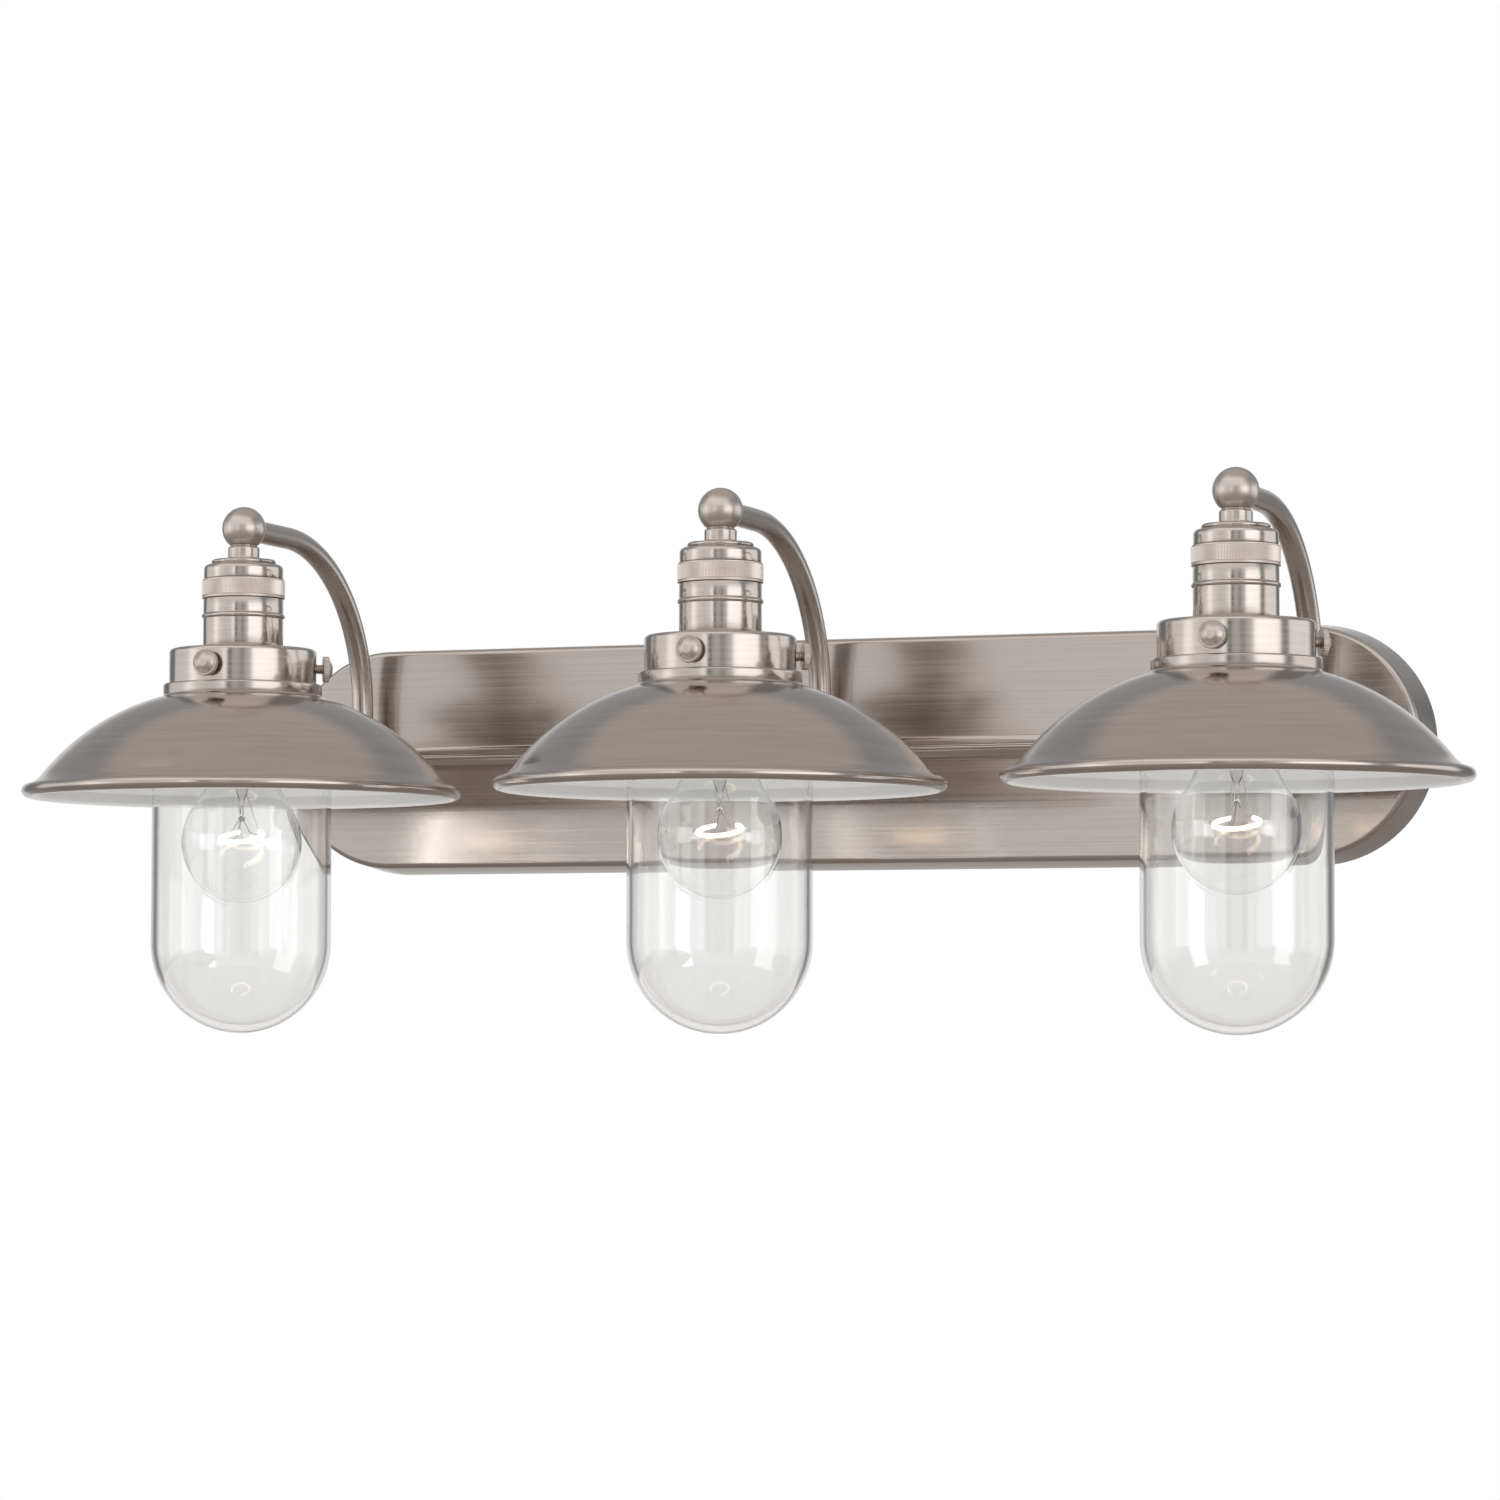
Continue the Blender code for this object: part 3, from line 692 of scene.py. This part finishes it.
# %% Turn the thumbscrews
HEAD_STEPS, HEAD_R, HEAD_PRESS = 88, 6.6, 0.955
head = turned("thumbscrew_knob", [(0, 45.1), (2.1, 45.1), (5.1, 43.5), (5.3, 43.1), (5.7, 43.1), (5.9, 43.4),
                                  (6.3, 43.3), (HEAD_R, 42.9), (HEAD_R, 40.6), (6.2, 40.2), (2.8, 40.2),
                                  (2.8, 42.7), (0, 42.7)], HEAD_STEPS, closed=False)
press_columns(head, HEAD_R, HEAD_STEPS, HEAD_PRESS)
shank = threaded("thumbscrew_thread", 2.0, 2.48, 0.8, 34.9, 42.6, 24)
lay_down = {}
for label, degrees in SCREW_TURNS.items():
    lay_down["_" + label] = (Matrix.Translation((0, 0, KNOB_Z * MM))
                             @ Matrix.Rotation(math.radians(degrees), 4, "Z")
                             @ Matrix.Rotation(math.radians(90), 4, "Y"))
set_on_lamps(coat(soften(head, 0.1, 1, 25), CAST_NICKEL, 18), "thumbscrew_head{label}_{side}",
             "thumbscrew_head{label}_{side}", tuple(lay_down.items()))
set_on_lamps(coat(shank, TURNED_NICKEL, 50), "thumbscrew_shank{label}_{side}",
             "thumbscrew_shank{label}_{side}", tuple(lay_down.items()))

# %% [markdown]
# ## The arms
# Steel tube, bent once. It leaves the back of the ball level, sweeps round a quarter of an ellipse
# and comes down straight on to the rail. A Bezier curve has exactly this shape with four points.

# %% Bend the arms
ARM_R, ARM_REACH, ARM_LEVEL, ARM_DROP = 5.6, 142.5, 50.0, 81.5
ROUND = 0.5523      # handle length that makes a Bezier quarter follow an ellipse
rail_top = (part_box("rail")[1].z - RIM_Z) / MM
across = ARM_REACH - ARM_LEVEL
arm_points = (
    ((8.0, BALL_Z), (6.0, BALL_Z), (14.0, BALL_Z)),
    ((ARM_LEVEL, BALL_Z), (ARM_LEVEL - 12, BALL_Z), (ARM_LEVEL + across * ROUND, BALL_Z)),
    ((ARM_REACH, BALL_Z - ARM_DROP), (ARM_REACH, BALL_Z - ARM_DROP * (1 - ROUND)),
     (ARM_REACH, BALL_Z - ARM_DROP - 8)),
    ((ARM_REACH, rail_top + 0.2), (ARM_REACH, rail_top + 6), (ARM_REACH, rail_top)),
)
bpy.ops.object.select_all(action="DESELECT")
bpy.ops.curve.primitive_bezier_curve_add()
arm = bpy.context.object
arm.name = "bent_arm"
spine = arm.data.splines[0]
spine.bezier_points.add(len(arm_points) - 2)
for point, places in zip(spine.bezier_points, arm_points):
    point.handle_left_type = point.handle_right_type = "FREE"
    point.co, point.handle_left, point.handle_right = (Vector((0, y, z)) * MM for y, z in places)
arm.data.resolution_u = 24
arm.data.bevel_depth = ARM_R * MM
arm.data.bevel_resolution = 7
arm.data.use_fill_caps = True
bpy.ops.object.convert(target="MESH")
bpy.ops.object.mode_set(mode="EDIT")
clean_up()
set_on_lamps(coat(arm, ARM_NICKEL, 40), "arm_{side}")

seat = turned("arm_seat_ring", [(5.7, 9.0), (6.1, 9.0), (6.4, 9.4), (6.1, 9.9), (5.6, 9.9)], 48)
seat_move = Matrix.Translation((0, 0, BALL_Z * MM)) @ Matrix.Rotation(math.radians(-90), 4, "X")
set_on_lamps(coat(soften(seat, 0.08), TURNED_NICKEL), None, moves=(("", seat_move),))

# %% [markdown]
# ## The wall plate
# The plate is a pressed pan with round ends. A pan with round ends is a round pan pulled apart at
# its middle, so it starts as a spun dish: flange against the wall, flared side, rounded edge. The
# two halves are then drawn apart, and the sheet is given its thickness.

# %% Press the plate
plate_low, plate_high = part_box("backplate")
half_length = (plate_high.x - plate_low.x) / 2 / MM
half_height = (plate_high.z - plate_low.z) / 2 / MM
depth = -plate_low.y / MM
FLARE, EDGE_R, RETURN = 2.5, 3.0, 8.0
PLATE_STEPS = 128
edge = arc(half_height - FLARE - EDGE_R, depth - EDGE_R, EDGE_R, 4, 90, 9)
plate = turned("pressed_plate", [(half_height - RETURN, 0.0), (half_height - 0.6, 0.0), (half_height, 0.5)]
               + edge, PLATE_STEPS, closed=False)
pull = (half_length - half_height) * MM
plate.data.transform(Matrix.Rotation(math.radians(90), 4, "X")
                     @ Matrix.Rotation(math.pi / PLATE_STEPS, 4, "Z"))
for direction in (-1, 1):
    pick(plate, lambda place: place.x * direction > 0)
    bpy.ops.transform.translate(value=(pull * direction, 0, 0))
    bpy.ops.object.mode_set(mode="OBJECT")
pick(plate, lambda place: place.y < -(depth - 0.01) * MM)
bpy.ops.mesh.edge_face_add()
bpy.ops.mesh.select_all(action="SELECT")
bpy.ops.mesh.normals_make_consistent(inside=False)
bpy.ops.object.mode_set(mode="OBJECT")
face = min(plate.data.polygons, key=lambda p: p.center.y)
if face.normal.y > 0:
    plate.data.flip_normals()
apply(plate, "SOLIDIFY", thickness=1.2 * MM, offset=-1.0, use_even_offset=True)
coat(plate, PLATE_NICKEL, 25)
ride_root(plate, "nickel", "backplate")

# %% [markdown]
# ## The rail
# A solid moulding runs along the plate's middle and carries the arms. Its section is drawn once, in
# the upright plane, filled and pulled out to length: a flat band, a fine groove, a bead, then a
# lower face that falls back into shadow.

# %% Draw the rail through
rail_low, rail_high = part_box("rail")
front, back = rail_low.y / MM + 0.3, rail_high.y / MM
top = rail_high.z / MM
bead = [(front + 0.5 - 0.8 * math.cos(a), -0.6 + 0.75 * math.sin(a))
        for a in (math.radians(70 - 20 * step) for step in range(8))]
section = [(back, top), (front + 0.5, top), (front, top - 0.5), (front, 1.3), (front + 0.7, 1.0),
           (front + 0.7, 0.4)] + bead + [(front + 0.9, -1.6), (front + 1.0, -2.2), (front + 2.4, -3.6),
                                         (front + 4.5, -top), (back, -top)]
rail = draw_line("drawn_rail", [(rail_low.x / MM, y, z) for y, z in section + section[:1]])
bpy.ops.mesh.remove_doubles(threshold=0.003 * MM)
bpy.ops.mesh.select_all(action="SELECT")
bpy.ops.mesh.edge_face_add()
length = rail_high.x - rail_low.x
bpy.ops.mesh.extrude_region_move(TRANSFORM_OT_translate={"value": (length, 0, 0)})
clean_up()
soften(rail, 0.18)
coat(rail, RAIL_NICKEL, 25)
ride_root(rail, "nickel", "rail")

# %% [markdown]
# ## Behind the plate
# A zinc-plated crossbar is screwed to the wall box. It is a strip with rounded corners and four
# holes: two for the long screws that hold the plate, two for the screws of the box.


# %% Cut the crossbar
CORNER_R, FIXING_HOLE_R = 4, 2.4
BOX_SCREW_X = 0.0349        # in metres, as the frame's own places are


def drill_through(piece, places, radius):
    """Drill round holes through the piece along Y."""
    for x, z in places:
        bpy.ops.object.select_all(action="DESELECT")
        bpy.ops.mesh.primitive_cylinder_add(vertices=28, radius=radius * MM, depth=20 * MM,
                                            location=(x, 0, z), rotation=(math.radians(90), 0, 0))
        cut_away(piece, bpy.context.object)


bar_low, bar_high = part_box("crossbar")
bpy.ops.object.select_all(action="DESELECT")
bpy.ops.mesh.primitive_cube_add(size=1)
bar = bpy.context.object
bar.name = "zinc_crossbar"
bar.data.transform(Matrix.Translation((bar_low + bar_high) / 2) @ Matrix.Diagonal((*(bar_high - bar_low), 1)))
only(bar)
bpy.ops.object.mode_set(mode="EDIT")
bpy.ops.mesh.select_mode(type="EDGE")
bpy.ops.mesh.select_all(action="DESELECT")
bpy.ops.object.mode_set(mode="OBJECT")
for edge_line in bar.data.edges:
    first, second = (bar.data.vertices[i].co for i in edge_line.vertices)
    edge_line.select = abs(first.x - second.x) < MM and abs(first.z - second.z) < MM
bpy.ops.object.mode_set(mode="EDIT")
bpy.ops.mesh.bevel(offset=CORNER_R * MM, segments=6)
bpy.ops.object.mode_set(mode="OBJECT")
fixing_low, fixing_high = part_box("mounting_screw_right")
FIXING_X = (fixing_low.x + fixing_high.x) / 2
drill_through(bar, [(x, 0) for x in (-FIXING_X, FIXING_X, -BOX_SCREW_X, BOX_SCREW_X)], FIXING_HOLE_R)
soften(bar, 0.2, 2, 40)
coat(bar, ZINC, 25)
ride_root(bar, "zinc_steel", "crossbar")

# %% [markdown]
# Two long screws pass through the rail and the plate into the crossbar. Only their domed heads show.
# A cross is cut into each head by two thin blades at right angles.

# %% Turn the domed screws
SCREW_FACE = -rail_low.y / MM + 0.15
SCREW_R, SCREW_HEAD_R = 2.0, 4.55
BLADE, BLADE_LIFT = (4.4, 0.9, 3.6), 4.6    # a slot's length, width and height, and where it is centred
screw = turned("domed_screw", arc(0, SCREW_FACE, SCREW_HEAD_R, 90, 0, 12)
               + [(SCREW_R, SCREW_FACE), (SCREW_R, 0), (0, 0)], 40, closed=False)
for turn in (0, 90):
    bpy.ops.object.select_all(action="DESELECT")
    bpy.ops.mesh.primitive_cube_add(size=1)
    blade = bpy.context.object
    blade.data.transform(Matrix.Translation((0, 0, (SCREW_FACE + BLADE_LIFT) * MM))
                         @ Matrix.Rotation(math.radians(turn), 4, "Z")
                         @ Matrix.Diagonal((*(size * MM for size in BLADE), 1)))
    cut_away(screw, blade)
coat(screw, TURNED_NICKEL, 30)
for side, x in (("left", -FIXING_X), ("right", FIXING_X)):
    made = screw.copy()
    made.data = screw.data.copy()
    made.name = "domed_screw_" + side
    bpy.context.scene.collection.objects.link(made)
    made.data.transform(Matrix.Translation((x, 0, 0)) @ Matrix.Rotation(math.radians(90), 4, "X"))
    ride_root(made, "nickel", "mounting_screw_" + side)
bpy.data.objects.remove(screw)

# %% [markdown]
# A green six-sided screw on the crossbar takes the earth wire.

# %% Cut the earth screw
EARTH_R, EARTH_THICK = 3.6, 2.0
EARTH_Y = -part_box("ground_screw")[1].y / MM
bpy.ops.object.select_all(action="DESELECT")
bpy.ops.mesh.primitive_cylinder_add(vertices=6, radius=EARTH_R * MM, depth=EARTH_THICK * MM,
                                    location=(0, 0, (EARTH_Y + EARTH_THICK / 2) * MM))
earth = bpy.context.object
earth.name = "green_earth_screw"
only(earth)
bpy.ops.object.transform_apply(location=True)
soften(earth, 0.25, 2, 20)
earth.data.transform(Matrix.Rotation(math.radians(90), 4, "X"))
coat(earth, GREEN, 25)
ride_root(earth, "green_screw", "ground_screw")

# %% [markdown]
# ## Studio
# The bar hangs in a bright room, with a plain pale floor well below it. Metal shows little but what
# stands around it, so most of the look comes from the room. The floor lights the bar from below but
# is kept out of its reflections.

# %% Lay the floor
FLOOR_SIZE, FLOOR_Z = 14, -2.0
scene = bpy.context.scene
scene.view_settings.view_transform = "Standard"
scene.view_settings.look = "None"
bpy.ops.object.select_all(action="DESELECT")
bpy.ops.mesh.primitive_plane_add(size=FLOOR_SIZE, location=(0, 0, FLOOR_Z))
floor = bpy.context.object
floor.name = "pale_floor"
floor_finish, floor_shader, _ = new_finish("pale_floor", Roughness=0.9, Emission_Strength=0.35)
floor_shader.inputs["Base Color"].default_value = (0.9, 0.9, 0.9, 1)
floor_shader.inputs["Emission Color"].default_value = (1, 1, 1, 1)
floor.data.materials.append(floor_finish)
floor.visible_glossy = False
print("floor laid")

# %% [markdown]
# The walls are a colour ramp wrapped round the bar. It starts behind the bar, passes its left, the
# side where the camera stands and its right, and ends behind it again. Bright panels, plain wall and
# narrow dark gaps follow one another, and give the turned parts their upright stripes. A ramp holds
# at most 32 stops, and this one uses them all.

# %% Set out the walls
WALL_LEVELS = (         # degrees to the right of the camera's side, and how bright the wall is
    (-180, 0.82), (-160, 0.80), (-152, 0.25), (-132, 0.20), (-126, 0.85), (-92, 0.95), (-84, 1.50),
    (-76, 1.45), (-68, 1.00), (-56, 0.92), (-48, 0.84), (-30, 0.94), (-25, 1.50), (-21, 1.40),
    (-19, 0.14), (-15, 0.14), (-12, 0.64), (-2, 0.62), (1, 0.36), (5, 0.36), (8, 0.64), (16, 0.72),
    (21, 1.80), (58, 1.70), (63, 0.34), (73, 0.34), (78, 1.20), (122, 1.10), (132, 0.20),
    (152, 0.25), (160, 0.80), (180, 0.82))
WALL_WARMTH = (1.0, 0.99, 0.975)
world = bpy.data.worlds.new("studio")
scene.world = world
world.use_nodes = True
sky = Wire(world.node_tree)
way = sky.node("ShaderNodeTexCoord", output="Generated")
way_x, way_y, way_z = (sky.node("ShaderNodeSeparateXYZ", None, {0: way}, axis) for axis in range(3))
toward = sky.math("ARCTAN2", way_x, 0.0 - way_y) - CAMERA_TURN
around = toward.math("WRAP", toward, math.pi, -math.pi) / (2 * math.pi) + 0.5
walls = sky.node("ShaderNodeValToRGB", {"stops": [
    (degrees / 360 + 0.5, tuple(level * c for c in WALL_WARMTH)) for degrees, level in WALL_LEVELS]},
    {0: around})
print("walls set out with", len(WALL_LEVELS), "stops")

# %% [markdown]
# Above and below the walls, the room is shaded by height: warm and dim below, and two ceilings, a
# bright one in front of the bar and a dimmer, cooler one over the wall. The camera itself sees plain
# white wherever it looks past the bar.

# %% Add the ceilings and the backdrop
rise = way_z * 0.5 + 0.5
ceiling = sky.node("ShaderNodeValToRGB", {"stops": [
    (0.0, (0.30, 0.27, 0.25)), (0.30, (0.30, 0.27, 0.25)), (0.44, (0.40, 0.38, 0.36)),
    (0.58, (0.46, 0.46, 0.46)), (0.66, (0.38, 0.385, 0.395)), (0.84, (0.36, 0.365, 0.375)),
    (0.885, (0.55, 0.51, 0.475)), (1.0, (0.55, 0.505, 0.47))]}, {0: rise})
front_ceiling = sky.node("ShaderNodeValToRGB", {"stops": [
    (0.0, (0.30, 0.27, 0.25)), (0.28, (0.40, 0.37, 0.345)), (0.46, (0.52, 0.50, 0.48)),
    (0.58, (0.62, 0.61, 0.59)), (0.66, (0.85, 0.83, 0.81)), (0.86, (1.15, 1.12, 1.09)),
    (0.93, (0.95, 0.92, 0.88)), (0.965, (0.55, 0.505, 0.47))]}, {0: rise})
facing = sky.node("ShaderNodeMapRange", {"interpolation_type": "SMOOTHSTEP"}, {
    "Value": way_y, "From Min": -0.05, "From Max": -0.35, "To Min": 0.0, "To Max": 1.0})
overhead = sky.node("ShaderNodeMix", {"data_type": "RGBA"}, {0: facing, 6: ceiling, 7: front_ceiling}, 2)
below = sky.node("ShaderNodeMapRange", {"interpolation_type": "SMOOTHSTEP"}, {
    "Value": way_z, "From Min": -0.30, "From Max": -0.12, "To Min": 0.0, "To Max": 1.0})
above = sky.node("ShaderNodeMapRange", {"interpolation_type": "SMOOTHSTEP"}, {
    "Value": way_z, "From Min": 0.40, "From Max": 0.20, "To Min": 0.0, "To Max": 1.0})
room = sky.node("ShaderNodeMix", {"data_type": "RGBA"}, {0: below * above, 6: overhead, 7: walls}, 2)
seen = sky.node("ShaderNodeLightPath", output="Is Camera Ray")
backdrop = sky.node("ShaderNodeMix", {"data_type": "RGBA"}, {0: seen, 6: room, 7: (1, 1, 1, 1)}, 2)
backdrop.feed(world.node_tree.nodes["Background"], "Color")
print("ceilings and backdrop ready")

# %% [markdown]
# Three broad soft lamps fill the shadows. They aren't seen, nor mirrored in the metal.


# %% Hang the softboxes
def softbox(name, place, width, height, power):
    """A broad lamp that faces the bar and isn't seen directly."""
    lamp = bpy.data.lights.new(name, "AREA")
    lamp.shape = "RECTANGLE"
    lamp.size, lamp.size_y = width, height
    lamp.energy = power
    made = bpy.data.objects.new(name, lamp)
    made.location = place
    made.rotation_euler = (Vector((0, LAMP_Y, RIM_Z)) - Vector(place)).to_track_quat("-Z", "Y").to_euler()
    made.visible_camera = False
    made.visible_glossy = False
    bpy.context.scene.collection.objects.link(made)
    return made


softbox("left_softbox", (-1.6, -1.7, 0.3), 1.2, 1.6, 14)
softbox("right_softbox", (2.0, -0.9, 0.4), 0.7, 1.6, 12)
softbox("top_softbox", (0.2, -0.6, 1.9), 1.6, 0.9, 8)
print("studio lit")
